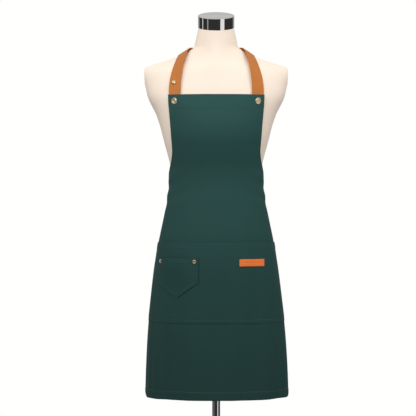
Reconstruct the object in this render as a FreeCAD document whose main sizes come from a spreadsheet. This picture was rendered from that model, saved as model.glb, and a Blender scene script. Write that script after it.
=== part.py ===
"""Bib apron in coated cotton with leather neck strap, worn on a dress form.

Millimetres, +Z up, wearer faces -Y. The origin is on the floor, on the pole's axis.
"""
import FreeCAD, Part
import Sketcher
import math
import os
from FreeCAD import Vector, Rotation, Placement

doc = FreeCAD.newDocument("apron_on_form")
sheet = doc.addObject("Spreadsheet::Sheet", "sizes")
sheet.Label = "sizes"

SIZES = {
    # stand
    "base_radius": 190, "base_thick": 8, "foot_high": 4, "foot_radius": 11, "foot_circle": 165,
    "cover_high": 22, "cover_thick": 1.5, "flange_radius": 32, "flange_high": 18,
    "lower_radius": 14, "lower_bore": 12, "lower_top": 396, "collar_radius": 19.5, "collar_high": 40,
    "pole_radius": 11, "pole_bore": 9.5, "pole_low": 205, "pole_top": 900, "running_gap": 0.1,
    "boss_radius": 9, "boss_reach": 29, "screw_radius": 4, "knob_radius": 19, "knob_thick": 14,
    # form
    "cover_skin": 1.0, "wall": 4.0, "form_low": 790, "neck_tilt": 17, "neck_high": 1509.5,
    "neck_forward": 9, "armhole_lean": 2.5, "armhole_reach": 192.5, "armhole_mid": 1350,
    "plate_thick": 6, "board_thick": 10, "socket_radius": 15, "socket_flange": 42,
    "socket_hole": 2.2, "screw_circle": 32,
    "cap_radius": 48.5, "cap_band": 33, "cap_dome": 3, "cap_thick": 2,
    # apron
    "cloth": 1.2, "layer_gap": 0.2, "hem_level": 516, "bib_level": 1322, "bib_half": 130,
    "tie_level": 1066, "skirt_half": 245, "corner_radius": 20, "facing_low": 1281,
    "lap_top": 930, "lap_low": 718, "lap_gape": 12, "tool_left": -147.5, "tool_right": -46,
    "tool_top": 889, "tool_side": 826, "tool_tip": 786, "tip_across": -104, "tool_gape": 9,
    "label_mid": 91, "label_wide": 63, "label_high": 19.4, "label_level": 878, "label_thick": 1.6,
    "strap_wide": 33, "strap_thick": 2.8, "tie_wide": 25, "tie_thick": 1.6,
    "snap_across": 110, "snap_level": 1305, "snap_radius": 8.5, "stud_radius": 6.2,
    "spare_across": -111, "spare_level": 1353, "spare_radius": 6.5, "rivet_level": 881, "rivet_radius": 5,
}
for line, (word, size) in enumerate(SIZES.items(), start=1):
    sheet.set(f"A{line}", word)
    sheet.set(f"B{line}", str(size))
    sheet.setAlias(f"B{line}", word)
doc.recompute()


def dim(word):
    return float(sheet.get(word))


# ---------------------------------------------------------------- feature helpers
def new_body(name):
    body = doc.addObject("PartDesign::Body", name)
    body.Label = name
    return body


def new_sketch(body, role, name, height=None):
    sketch = body.newObject("Sketcher::SketchObject", name)
    plane = next(f for f in body.Origin.OriginFeatures if f.Role == role)
    sketch.AttachmentSupport = [(plane, "")]
    sketch.MapMode = "FlatFace"
    if height is not None:
        sketch.setExpression("AttachmentOffset.Base.z", height)
    return sketch


def add_circle(sketch, radius, x=0.0, y=0.0):
    """A circle whose radius follows a sheet expression."""
    index = sketch.addGeometry(Part.Circle(Vector(x, y, 0), Vector(0, 0, 1), 5), False)
    number = sketch.addConstraint(Sketcher.Constraint("Radius", index, 5))
    sketch.setExpression(f"Constraints[{number}]", radius)
    if x == 0 and y == 0:
        sketch.addConstraint(Sketcher.Constraint("Coincident", index, 3, -1, 1))


def disc(name, height, length, rings):
    """A body of stacked circles: one pad of an outer circle less its inner circles."""
    body = new_body(name)
    sketch = new_sketch(body, "XY_Plane", name + "_outline", height)
    for radius in rings:
        add_circle(sketch, radius)
    pad = body.newObject("PartDesign::Pad", name + "_pad")
    pad.Profile = sketch
    pad.setExpression("Length", length)
    sketch.Visibility = False
    return body


def turned(name, points, place=None):
    """A body turned about Z from (radius, height) corner points."""
    body = new_body(name)
    sketch = new_sketch(body, "XZ_Plane", name + "_profile")
    ends = points[1:] + points[:1]
    for (r0, z0), (r1, z1) in zip(points, ends):
        sketch.addGeometry(Part.LineSegment(Vector(r0, z0, 0), Vector(r1, z1, 0)), False)
    turn = body.newObject("PartDesign::Revolution", name + "_turn")
    turn.Profile = sketch
    turn.ReferenceAxis = (sketch, ["V_Axis"])
    turn.Angle = 360
    if place:
        body.Placement = place
    return body


def solid(name, shape, place=None):
    """A shaped piece made with Part functions."""
    piece = doc.addObject("Part::Feature", name)
    piece.Label = name
    piece.Shape = shape
    if place:
        piece.Placement = place
    return piece


# ---------------------------------------------------------------- body sections
# level, half width, front, back, middle, roundness of the form's outer skin
FORM = [
    (770, 156, 111, 115, 0, 2.25), (800, 158, 113, 119, 0, 2.25), (840, 161, 116, 123, 0, 2.25),
    (880, 159, 115, 121, 0, 2.25), (935, 149, 109, 112, 0, 2.25), (990, 135, 101, 99, 0, 2.2),
    (1040, 125, 95, 89, 0, 2.2), (1085, 121, 92, 85, 0, 2.15), (1130, 122.5, 97, 88, 0, 2.2),
    (1175, 133, 112, 94, 0, 2.3), (1210, 142.5, 122, 100, 0, 2.35), (1245, 151.5, 122.5, 105, 0, 2.35),
    (1285, 167, 114, 109, 2, 2.3), (1320, 184, 104, 111, 3, 2.2), (1350, 191, 95, 109, 5, 2.0),
    (1375, 197, 87, 105, 8, 1.75), (1392, 197, 82, 100, 10, 1.55), (1403, 188, 78, 96, 11, 1.4),
    (1412, 162, 74, 91.5, 11, 1.35), (1421, 134, 70.5, 87, 10, 1.35), (1431, 105, 66.5, 81, 8, 1.45),
    (1442, 80, 63, 73.5, 5, 1.6), (1454, 62, 60.5, 65.5, 2, 1.8), (1468, 57, 58.5, 57, -1, 1.95),
    (1486, 52.8, 57.5, 47.5, -5, 2.0), (1505, 48.4, 57, 40, -8.5, 2.0), (1530, 45, 58, 37, -10.5, 2.0),
]
# the same for the inner face of the hanging cloth
DRAPE = [
    (510, 191.5, 132, 136, 0, 2.15), (600, 187, 130, 134, 0, 2.15), (700, 180.5, 128, 132, 0, 2.2),
    (774, 173.5, 126, 131, 0, 2.2), (857, 164.5, 121, 128, 0, 2.25), (900, 158.5, 118, 123, 0, 2.25),
    (930, 154, 115, 118, 0, 2.25), (990, 142, 107, 105, 0, 2.2), (1040, 132, 100, 95, 0, 2.2),
    (1085, 127.5, 96.5, 90.5, 0, 2.15), (1130, 127.5, 101, 92.5, 0, 2.2), (1175, 135, 115, 98, 0, 2.3),
    (1210, 145, 125, 103, 0, 2.35), (1245, 155, 127.5, 108, 0, 2.35), (1285, 173.5, 123, 113, 2, 2.3),
    (1320, 194, 116, 118, 3, 2.2), (1345, 201, 110, 118, 5, 2.0),
]


def between(table, level):
    """The table's row at a level, on a smooth curve through its rows."""
    last = len(table) - 2
    i = max(0, min(last, sum(1 for row in table[1:-1] if row[0] <= level)))
    z0, z1 = table[i][0], table[i + 1][0]
    t = (level - z0) / (z1 - z0)
    before, after = table[max(i - 1, 0)], table[min(i + 2, last + 1)]
    values = []
    for k in range(1, 6):
        p0, p1 = table[i][k], table[i + 1][k]
        m0 = (p1 - before[k]) / (z1 - before[0]) * (z1 - z0)
        m1 = (after[k] - p0) / (after[0] - z0) * (z1 - z0)
        a, b = 2 * t ** 3 - 3 * t ** 2, t ** 3 - t ** 2
        values.append(p0 * (a + 1) + p1 * -a + m0 * (b - t ** 2 + t) + m1 * b)
    return values


def ring_point(row, angle, grow=0.0):
    """A point on a section; the angle runs from the front centre towards +X."""
    wide, front, back, middle, power = row
    side, ahead = math.sin(angle), -math.cos(angle)
    depth = (back - middle) if ahead > 0 else (front + middle)
    x = (wide + grow) * math.copysign(abs(side) ** (2 / power), side)
    y = middle + (depth + grow) * math.copysign(abs(ahead) ** (2 / power), ahead)
    return x, y


def form_loft(grow, low, high):
    """A closed loft through the form's sections, moved out by 'grow'."""
    rings = []
    rows = [row[0] for row in FORM]
    # a section halfway between the neck's rows keeps its sides from bulging
    rows += [(lower + upper) / 2 for lower, upper in zip(rows, rows[1:]) if lower > 1440]
    for level in sorted(rows):
        if not low <= level <= high:
            continue
        row = between(FORM, level)
        points = [Vector(*ring_point(row, 2 * math.pi * i / 16, grow), level) for i in range(16)]
        curve = Part.BSplineCurve()
        curve.interpolate(Points=points, PeriodicFlag=True)
        rings.append(Part.Wire([curve.toShape()]))
    return Part.makeLoft(rings, True, False)


class Section:
    """One level of the cloth's inner face, measured along the cloth from its centre line."""

    def __init__(self, level):
        self.level = level
        row = between(DRAPE, level)
        self.points = [ring_point(row, math.pi * i / 240) for i in range(241)]
        self.run = [0.0]
        for (x0, y0), (x1, y1) in zip(self.points, self.points[1:]):
            self.run.append(self.run[-1] + math.hypot(x1 - x0, y1 - y0))

    def at(self, along, lift):
        """The point 'along' the cloth to +X, 'lift' out from its inner face."""
        far, i = abs(along), 0
        while i < 239 and self.run[i + 1] < far:
            i += 1
        part = (far - self.run[i]) / max(self.run[i + 1] - self.run[i], 1e-9)
        (x0, y0), (x1, y1) = self.points[i], self.points[i + 1]
        size = math.hypot(x1 - x0, y1 - y0)
        nx, ny = -(y0 - y1) / size, -(x1 - x0) / size
        x, y = x0 + (x1 - x0) * part + nx * lift, y0 + (y1 - y0) * part + ny * lift
        return Vector(math.copysign(1, along) * x, y, self.level)


def curve_through(points):
    curve = Part.BSplineCurve()
    curve.interpolate(Points=points)
    return curve.toShape()


def cloth(levels, span, lift, thick, count=17):
    """A thin lofted panel between the two distances span(level), lift(level, along) off the drape."""
    wires = []
    for level in levels:
        section = Section(level)
        left, right = span(level)
        spots = [left + (right - left) * i / (count - 1) for i in range(count)]
        inner = [section.at(s, lift(level, s)) for s in spots]
        outer = [section.at(s, lift(level, s) + thick) for s in spots]
        ends = [Part.makeLine(inner[-1], outer[-1]), Part.makeLine(outer[0], inner[0])]
        wires.append(Part.Wire([curve_through(inner), ends[0], curve_through(outer), ends[1]]))
    return Part.makeLoft(wires, True, False)


def ease(value):
    value = max(0.0, min(1.0, value))
    return value * value * (3 - 2 * value)


# ---------------------------------------------------------------- stand
plate_low = dim("foot_high")
plate_top = plate_low + dim("base_thick")
disc("base_plate", "sizes.foot_high", "sizes.base_thick", ["sizes.base_radius - 2", "5.2"])

rim, rise, skin = dim("base_radius"), dim("cover_high"), dim("cover_thick")
dome = []
for i in range(9):
    part = i / 8
    dome.append((rim - (rim - 14.3) * part, plate_top + 2 + (rise - 2) * math.sin(part * math.pi / 2) ** 1.3))
cover_points = [(rim, plate_low)] + dome + [(14.3, dome[-1][1] - skin)]
cover_points += [(r - 0.6 if r > 20 else r, z - skin) for r, z in reversed(dome[1:-1])]
cover_points += [(rim - skin, plate_top + 1.2), (rim - skin, plate_low)]
turned("base_cover", cover_points)

flange_low = dome[-1][1]
flange_r = dim("flange_radius")
turned("pole_flange", [
    (14.1, flange_low), (flange_r, flange_low), (flange_r, flange_low + 3), (flange_r - 4, flange_low + 6),
    (19, flange_low + dim("flange_high") - 4), (18, flange_low + dim("flange_high")),
    (14.1, flange_low + dim("flange_high"))])

disc("lower_pole", "sizes.foot_high + sizes.base_thick",
     "sizes.lower_top - sizes.foot_high - sizes.base_thick", ["sizes.lower_radius", "sizes.lower_bore"])
turned("pole_plug", [(5, plate_top), (12, plate_top), (12, plate_top + 30), (5, plate_top + 30)])
turned("base_bolt", [
    (0, plate_low - 2.2), (9.5, plate_low - 2.2), (9.5, plate_low - 1.6), (5, plate_low - 1.6),
                     (5, plate_top + 28), (4, plate_top + 29.5), (0, plate_top + 29.5)])
turned("base_washer", [(5.2, plate_low - 1.6), (14, plate_low - 1.6), (14, plate_low), (5.2, plate_low)])

pads = []
for i in range(5):
    turn = math.radians(72 * i + 18)
    spot = Vector(dim("foot_circle") * math.cos(turn), dim("foot_circle") * math.sin(turn), 0)
    pads.append(Part.makeCone(dim("foot_radius") - 1, dim("foot_radius"), plate_low, spot))
solid("foot_pads", Part.makeCompound(pads))

# collar that grips the sliding pole, with a boss for the screw on the +X side
collar_low = dim("lower_top") - dim("collar_high") + 14
screw_level = dim("lower_top") + 5
outer_r, bore_r, screw_r = dim("collar_radius"), dim("pole_radius") + dim("running_gap"), dim("screw_radius")
sideways = Vector(1, 0, 0)


def along_screw(radius, start, length):
    """A cylinder on the clamp screw's axis."""
    return Part.makeCylinder(radius, length, Vector(start, 0, screw_level), sideways)


collar = Part.makeCylinder(outer_r, dim("collar_high"), Vector(0, 0, collar_low))
collar = collar.fuse(along_screw(dim("boss_radius"), 8, dim("boss_reach") - 8))
collar = collar.cut(Part.makeCylinder(bore_r, 200, Vector(0, 0, collar_low - 50)))
lower_seat = dim("lower_top") - collar_low
collar = collar.cut(Part.makeCylinder(dim("lower_radius"), lower_seat, Vector(0, 0, collar_low)))
collar = collar.cut(along_screw(screw_r + 0.08, 0, 60))
solid("clamp_collar", collar.removeSplitter())

shoe_near, shoe_long = bore_r + 0.3, 3.5
solid("clamp_shoe", along_screw(screw_r, shoe_near, shoe_long))

knob_near, knob_depth = dim("boss_reach") + 2.5, 6
knob_r, knob_t, flute_r = dim("knob_radius"), dim("knob_thick"), 8.5
knob = along_screw(knob_r, knob_near, knob_t).cut(along_screw(screw_r, knob_near, knob_depth))
for i in range(6):
    turn = math.radians(60 * i + 30)
    reach = knob_r + 4.5
    spot = Vector(knob_near - 1, reach * math.cos(turn), screw_level + reach * math.sin(turn))
    knob = knob.cut(Part.makeCylinder(flute_r, knob_t + 2, spot, sideways))
solid("clamp_knob", knob)
screw_near = shoe_near + shoe_long + 0.5
solid("clamp_screw", along_screw(screw_r, screw_near, knob_near + knob_depth - screw_near))

disc("upper_pole", "sizes.pole_low", "sizes.pole_top - sizes.pole_low",
     ["sizes.pole_radius", "sizes.pole_bore"])
turned("pole_guide", [
    (dim("pole_bore") - 3, dim("pole_low") - 8), (dim("lower_bore") - 0.1, dim("pole_low") - 8),
    (dim("lower_bore") - 0.1, dim("pole_low")), (dim("pole_bore"), dim("pole_low")),
    (dim("pole_bore"), dim("pole_low") + 20), (dim("pole_bore") - 3, dim("pole_low") + 20)])
turned("pole_end_cap", [
    (0, dim("pole_top") - 15), (dim("pole_bore"), dim("pole_top") - 15), (dim("pole_bore"), dim("pole_top")),
    (dim("pole_radius"), dim("pole_top")), (dim("pole_radius"), dim("pole_top") + 3),
    (0, dim("pole_top") + 3)])

# ---------------------------------------------------------------- dress form
skin, wall, low = dim("cover_skin"), dim("wall"), dim("form_low")
lean = dim("armhole_lean")
tilt = Rotation(Vector(1, 0, 0), dim("neck_tilt"))
neck = Vector(0, -dim("neck_forward"), dim("neck_high"))


def trimmed(shape, depth=0.0):
    """Cut the form level at the bottom, tilted at the neck and leaning at both armholes."""
    foot = Part.makeBox(600, 600, 400, Vector(-300, -300, low + depth - 400))
    top = Part.makeBox(400, 400, 200, Vector(-200, -200, -depth))
    top.Placement = Placement(neck, tilt)
    shape = shape.cut(foot).cut(top)
    for side in (-1, 1):
        slab = Part.makeBox(200, 500, 360, Vector(0 if side > 0 else -200, -250, -110))
        spot = Vector(side * (dim("armhole_reach") - depth), 0, dim("armhole_mid"))
        slab.Placement = Placement(spot, Rotation(Vector(0, 1, 0), side * lean))
        shape = shape.cut(slab)
    return shape


outer = form_loft(0, 770, 1530)
middle = form_loft(-skin, 770, 1530)
inside = form_loft(-skin - wall, 770, 1530)
solid("jersey_cover", trimmed(outer).cut(middle))
solid("torso_shell", trimmed(middle).cut(inside))
core = trimmed(inside)
thick = dim("plate_thick")
for side, word in ((-1, "left"), (1, "right")):
    slab = Part.makeBox(thick, 500, 360, Vector(-thick if side > 0 else 0, -250, -110))
    slab.Placement = Placement(Vector(side * dim("armhole_reach"), 0, dim("armhole_mid")),
                               Rotation(Vector(0, 1, 0), side * lean))
    solid("armhole_plate_" + word, core.common(slab))
board = core.common(Part.makeBox(500, 500, dim("board_thick"), Vector(-250, -250, low)))
board = board.cut(Part.makeCylinder(dim("socket_radius"), 60, Vector(0, 0, low - 20)))
screw_spots = []
for i in range(4):
    turn = math.radians(90 * i + 45)
    screw_spots.append(Vector(dim("screw_circle") * math.cos(turn), dim("screw_circle") * math.sin(turn), 0))
for spot in screw_spots:
    board = board.cut(Part.makeCylinder(dim("socket_hole"), 60, spot + Vector(0, 0, low - 20)))
solid("base_board", board)
slab = Part.makeBox(300, 300, 14, Vector(-150, -150, -14))
slab.Placement = Placement(neck, tilt)
block = core.common(slab)
hole = Part.makeCylinder(4, 60, Vector(0, 0, -30))
hole.Placement = Placement(neck, tilt)
solid("neck_block", block.cut(hole))

# cap: an upright band under a shallow dome, open below
cap_r, cap_t, turn_in = dim("cap_radius") + 0.6, dim("cap_thick"), 2.5
arc = []
for k in range(10):
    turn = math.radians(10 * k)
    rise = (dim("cap_dome") + turn_in) * math.sin(turn)
    arc.append((cap_r * math.cos(turn), dim("cap_band") - turn_in + rise))
arc[-1] = (0, arc[-1][1])
hollow = [(max(r - cap_t, 0), z - cap_t if r < cap_r - 3 else z) for r, z in arc]
turned("neck_cap", [(cap_r, 0)] + arc + hollow[::-1] + [(cap_r - cap_t, 0)], Placement(neck, tilt))
turned("neck_disc", [(4, 0), (cap_r - cap_t, 0), (cap_r - cap_t, 2.5), (4, 2.5)], Placement(neck, tilt))
turned("neck_bolt", [(0, -22), (4, -22), (4, 2.5), (7.5, 2.5), (7.5, 6.5), (0, 6.5)], Placement(neck, tilt))

flange_r, socket_r = dim("socket_flange"), dim("socket_radius")
pole_top = dim("pole_top") + 3
turned("pole_socket", [
    (bore_r, low - 3), (flange_r, low - 3), (flange_r, low), (socket_r, low), (socket_r, pole_top + 4),
    (0, pole_top + 4), (0, pole_top + 0.3), (bore_r, pole_top + 0.3)])
socket = doc.getObject("pole_socket")
doc.recompute()
holes = new_sketch(socket, "XY_Plane", "screw_holes")
for spot in screw_spots:
    add_circle(holes, "sizes.socket_hole", spot.x, spot.y)
drill = socket.newObject("PartDesign::Pocket", "screw_holes_cut")
drill.Profile = holes
drill.Type = 1
drill.Reversed = True
socket.Tip = drill
screws = []
for spot in screw_spots:
    head = Part.makeCylinder(4, 2.2, spot + Vector(0, 0, low - 5.2))
    screws.append(head.fuse(Part.makeCylinder(2.1, 12, spot + Vector(0, 0, low - 3.5))))
solid("socket_screws", Part.makeCompound(screws))

# ---------------------------------------------------------------- apron
cloth_t = dim("cloth")
layer = cloth_t + dim("layer_gap")
hem, bib, tie = dim("hem_level"), dim("bib_level"), dim("tie_level")


def panel_half(level):
    """Half the cloth's width: straight bib, curved armhole, skirt, rounded hem corners."""
    wide, corner = dim("skirt_half"), dim("corner_radius")
    if level >= tie:
        sweep = min(1.0, (level - tie) / 118)
        return dim("bib_half") + (wide - dim("bib_half")) * (1 - math.sin(sweep * math.pi / 2)) ** 1.15
    drop = max(0.0, hem + corner - level)
    return wide - (corner - math.sqrt(max(corner ** 2 - drop ** 2, 0.0)))


def flat_lift(level, along):
    return 0.0


levels = [hem, hem + 1.5, hem + 5, hem + 10, hem + 20, 565, 620, 690, 750, 810, 857, 895, 930, 965, 1000, 1035,
          1058, tie, 1072, 1082, 1096, 1112, 1130, 1150, 1175, 1192, 1210, 1230, 1250, 1275, 1300, bib]
panel = cloth(levels, lambda z: (-panel_half(z), panel_half(z)), flat_lift, cloth_t)
facing_half = dim("bib_half") - 1.5
facing = cloth([dim("facing_low"), 1295, 1309, bib], lambda z: (-facing_half, facing_half),
               lambda z, s: -layer - 0.25, cloth_t)

lap_top, lap_low = dim("lap_top"), dim("lap_low")


def lap_lift(level, along):
    """The lap pocket lies on the skirt at its sides and bottom and gapes at its mouth."""
    across = max(0.0, 1 - (along / (panel_half(level) - 40)) ** 2) ** 1.3
    return layer + dim("lap_gape") * across * ease((level - lap_low - 8) / (lap_top - lap_low - 20))


lap_levels = [lap_low, lap_low + 10, 748, 790, 835, 875, 905, lap_top]
lap = cloth(lap_levels, lambda z: (2 - panel_half(z), panel_half(z) - 2), lap_lift, cloth_t, 25)


def tool_lift(level, along):
    """The tool pocket lies on the lap pocket and gapes at its mouth."""
    here = max(0.0, 1 - ((along - tool_mid) / 50) ** 2)
    return lap_lift(level, along) + layer + 0.5 + dim("tool_gape") * here * ease((level - 800) / 80)


def outline_cut(shape, corners):
    """Keep what lies behind an outline of (x, z) corners seen from the front."""
    points = [Vector(x, -400, z) for x, z in corners]
    face = Part.Face(Part.makePolygon(points + points[:1]))
    return shape.common(face.extrude(Vector(0, 400, 0)))


left, right = dim("tool_left"), dim("tool_right")
section = Section(dim("tool_top"))


def along_at(x):
    """Distance along the cloth at which it reaches x."""
    best = min(range(2, 200), key=lambda i: abs(section.points[i][0] - abs(x)))
    return math.copysign(section.run[best], x)


tool_span = along_at(left), along_at(right)
tool_mid = sum(tool_span) / 2
tool_top, tool_side = dim("tool_top"), dim("tool_side")
tool = cloth([776, 790, 810, 830, 850, 870, tool_top], lambda z: tool_span, tool_lift, cloth_t, 11)
tool = outline_cut(tool, [(-180, tool_top), (-20, tool_top), (-20, tool_side), (right - 4, tool_side),
                          (dim("tip_across"), dim("tool_tip")), (left - 9, tool_side), (-180, tool_side)])

label_x, half_w, half_h = dim("label_mid"), dim("label_wide") / 2, dim("label_high") / 2
label_z, round_r = dim("label_level"), 4
label = cloth([label_z - 20, label_z - 7, label_z + 7, label_z + 20], lambda z: (40, 160),
              lambda z, s: lap_lift(z, s) + layer, dim("label_thick"), 11)
corners = []
for k in range(16):
    turn = math.radians(22.5 * k + 11.25)
    corners.append((label_x + math.copysign(half_w - round_r, math.cos(turn)) + round_r * math.cos(turn),
                    label_z + math.copysign(half_h - round_r, math.sin(turn)) + round_r * math.sin(turn)))
label = outline_cut(label, corners)


def surface_spot(x, z, lift_off):
    """Front point of the lofted cloth at x and z with its outward direction."""
    local = Section(z)
    best = min(range(2, 160), key=lambda i: abs(local.points[i][0] - abs(x)))
    here = math.copysign(local.run[best], x)
    p = local.at(here, lift_off(z, here))
    side = local.at(here + 4, lift_off(z, here + 4)) - local.at(here - 4, lift_off(z, here - 4))
    rise_v = Section(z + 4).at(here, lift_off(z + 4, here)) - Section(z - 4).at(here, lift_off(z - 4, here))
    out = side.cross(rise_v)
    out.normalize()
    return p, out


def hits(shape, spot, out):
    """The outermost and innermost points of a piece on a line through 'spot' along 'out'."""
    line = shape.common(Part.makeLine(spot + out * 14, spot - out * 14))
    points = sorted((v.Point for v in line.Vertexes), key=lambda p: p.dot(out))
    return points[-1], points[0]


def fastener(name, profile, spot, out):
    return turned(name, profile, Placement(spot, Rotation(Vector(0, 0, 1), out)))


def drilled(shape, spot, out, radius):
    return shape.cut(Part.makeCylinder(radius, 16, spot - out * 8, out))


# ---------------------------------------------------------------- neck strap
def form_field(x, y, z):
    """Below 1 inside the form, above 1 outside it."""
    wide, front, back, middle, power = between(FORM, z)
    depth = (back - middle) if y > middle else (front + middle)
    return (abs(x) / wide) ** power + (abs(y - middle) / depth) ** power


def on_form(x, z, face, gap):
    """The form's point at x and z on its front (-1) or back (1), moved out by 'gap', and the way out."""
    wide, front, back, middle, power = between(FORM, z)
    depth = (back - middle) if face > 0 else (front + middle)
    rest = max(1 - (abs(x) / wide) ** power, 0.0)
    near = Vector(x, middle + face * depth * rest ** (1 / power), z)
    step = 0.5
    out = Vector(form_field(x + step, near.y, z) - form_field(x - step, near.y, z),
                 form_field(x, near.y + step, z) - form_field(x, near.y - step, z),
                 form_field(x, near.y, z + step) - form_field(x, near.y, z - step))
    out.normalize()
    return near + out * gap, out


def ribbon(points, outs, wide, thick, widths=None):
    """A flat band: rectangles across a path, each facing its own way out."""
    wires = []
    for i, (p, out) in enumerate(zip(points, outs)):
        ahead = points[min(i + 1, len(points) - 1)] - points[max(i - 1, 0)]
        across = ahead.cross(out)
        across.normalize()
        out = across.cross(ahead)
        out.normalize()
        half = (widths[i] if widths else wide) / 2
        a, b = p - across * half, p + across * half
        wires.append(Part.makePolygon([a, b, b + out * thick, a + out * thick, a]))
    return Part.makeLoft(wires, True, False)


strap_t, strap_w = dim("strap_thick"), dim("strap_wide")
path = [(-105, 1275, -1, 2.2), (-106, 1292, -1, 2.2), (-108, 1310, -1, 2.4), (-109.5, 1328, -1, 2.9),
        (-108.5, 1350, -1, 3.4), (-105, 1375, -1, 3.8), (-100, 1397, -1, 4.0), (-94, 1415, -1, 4.2),
        (-89.5, 1427, -1, 4.4), (-87, 1434, -1, 4.4), (-84.8, 1438.2, -1, 4.4), (-82, 1440.5, 1, 4.4),
        (-77, 1441.5, 1, 4.4), (-69, 1441.8, 1, 4.4), (-58, 1440.5, 1, 4.4), (-45, 1438, 1, 4.2),
        (-30, 1435, 1, 4.0), (-15, 1432.5, 1, 3.8), (0, 1431, 1, 3.8)]
half = [on_form(*spot) for spot in path]
both = half + [(Vector(-p.x, p.y, p.z), Vector(-out.x, out.y, out.z)) for p, out in reversed(half[:-1])]


def smoothed(values):
    """Each value blended with its two neighbours; the ends stay."""
    inner = [(values[i - 1] + values[i] * 2 + values[i + 1]) * 0.25 for i in range(1, len(values) - 1)]
    return values[:1] + inner + values[-1:]


strap_points = smoothed([p for p, out in both])
strap_outs = smoothed(smoothed(smoothed([out for p, out in both])))
strap_outs = [Vector(out).normalize() for out in strap_outs]
strap = ribbon(strap_points, strap_outs, strap_w, strap_t)

snap_r, stud_r, spare_r = dim("snap_radius"), dim("stud_radius"), dim("spare_radius")
snap_places = {}
for side, word in ((-1, "left"), (1, "right")):
    spot, out = surface_spot(side * dim("snap_across"), dim("snap_level"), flat_lift)
    snap_places[word] = (hits(panel, spot, out)[0] - out * cloth_t, out)
for word, (spot, out) in snap_places.items():
    fastener("bib_snap_cap_" + word, [
        (0, -2.0), (2, -2.0), (2, cloth_t + 0.3), (snap_r - 0.6, cloth_t + 0.3), (snap_r, cloth_t + 1.0),
        (snap_r - 1, cloth_t + 2.2), (snap_r - 4, cloth_t + 3.2), (0, cloth_t + 3.6)], spot, out)
    deep = (spot - hits(facing, spot, out)[1]).Length + 0.35
    fastener("bib_snap_socket_" + word, [
        (2.05, -deep - 0.8), (stud_r, -deep - 0.8), (stud_r, -deep), (2.05, -deep)], spot, out)
    panel = drilled(panel, spot, out, 2.1)
    facing = drilled(facing, spot, out, 2.1)

BALL = [(1.5, 0.7), (stud_r - 1.6, 0.7), (stud_r - 1.6, 1.1), (3.2, 1.3), (3.2, 1.4), (1.5, 1.4)]
DOME = [(1.5, 0.6), (spare_r, 0.6), (spare_r, 1.2), (spare_r - 1, 2.2), (spare_r - 3, 3.1), (1.5, 3.4)]
post_r = stud_r - 2.2
stud_places = {"strap_stud_" + word: (spot - out * 8, out, BALL) for word, (spot, out) in snap_places.items()}
stud_places["spare_stud"] = on_form(dim("spare_across"), dim("spare_level"), -1, 5.0) + (DOME,)
for name, (spot, out, profile) in stud_places.items():
    front_spot, back_spot = hits(strap, spot, out)
    depth = (front_spot - back_spot).Length
    fastener(name, profile, front_spot, out)
    fastener(name + "_post", [(0, -depth - 1.5), (post_r, -depth - 1.5), (post_r, -depth - 0.9),
                              (1.45, -depth - 0.9), (1.45, 1.1), (0, 1.1)], front_spot, out)
    strap = drilled(strap, front_spot, out, 1.55)

# ---------------------------------------------------------------- pocket rivets
rivet_r = dim("rivet_radius")
rivets, backs = [], []
for x in (left + 5.5, right - 9.5):
    spot, out = surface_spot(x, dim("rivet_level"), tool_lift)
    spot = hits(tool, spot, out)[0]
    depth = (spot - hits(lap, spot, out)[1]).Length
    turn = Placement(spot, Rotation(Vector(0, 0, 1), out))
    head = Part.makeCylinder(rivet_r, 1.0, Vector(0, 0, 0.75)).fuse(
        Part.makeCylinder(1.5, depth + 1.75, Vector(0, 0, -depth - 0.85)))
    head = head.fuse(Part.makeCone(rivet_r - 1.6, rivet_r - 2.6, 0.8, Vector(0, 0, 1.75)))
    tail = Part.makeCylinder(rivet_r - 1, 0.9, Vector(0, 0, -depth - 1.75))
    for part_shape, group in ((head, rivets), (tail, backs)):
        part_shape.Placement = turn
        group.append(part_shape)
    lap = drilled(lap, spot, out, 1.6)
    tool = drilled(tool, spot, out, 1.6)
solid("pocket_rivets", Part.makeCompound(rivets))
solid("pocket_rivet_backs", Part.makeCompound(backs))
solid("apron_panel", panel)
solid("bib_facing", facing)
solid("lap_pocket", lap)
solid("tool_pocket", tool)
solid("label_patch", label)
solid("neck_strap", strap)

# ---------------------------------------------------------------- waist ties
tie_t, tie_w = dim("tie_thick"), dim("tie_wide")
tie_z = tie - 14
tie_off, tie_count = cloth_t + 3.2, 9
knot_y = between(DRAPE, tie_z)[2] + 3
waist = Section(tie_z)
tie_start, tie_end = panel_half(tie_z) - 16, waist.run[-1] - 11.5
for side, word in ((-1, "left"), (1, "right")):
    points, outs = [], []
    for k in range(tie_count):
        along = side * (tie_start + (tie_end - tie_start) * k / (tie_count - 1))
        points.append(waist.at(along, tie_off))
        outs.append((waist.at(along, tie_off + 3) - points[-1]).normalize())
    solid("waist_tie_" + word, ribbon(points, outs, tie_w, tie_t))

knot_w, knot_deep, knot_h = 22, 13, 25
knot = Part.makeBox(knot_w, knot_deep, knot_h, Vector(-knot_w / 2, knot_y - 2.2, tie_z - knot_h / 2))
solid("tie_knot", knot.makeFillet(4, knot.Edges))

# bow loops: a band bent back on itself, narrowed towards the knot and drooping
BEND = [(0, 4.4), (16, 8), (40, 11.5), (66, 12), (84, 8.5), (90, 3), (82, -0.5), (62, -1.5), (38, -0.6),
        (16, 0.6), (0, 1.2)]
NARROW = [(-1, -6), (34, -tie_w / 2), (96, -tie_w / 2), (96, tie_w / 2), (34, tie_w / 2), (-1, 6)]
droop = 16


def offset_bend(gap):
    """The bend's points moved square to it by 'gap'."""
    moved, last = [], len(BEND) - 1
    for k, (reach, depth) in enumerate(BEND):
        (r0, d0), (r1, d1) = BEND[max(k - 1, 0)], BEND[min(k + 1, last)]
        size = math.hypot(r1 - r0, d1 - d0)
        moved.append(Vector(reach - (d1 - d0) / size * gap, depth + (r1 - r0) / size * gap, -tie_w / 2))
    return moved


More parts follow.
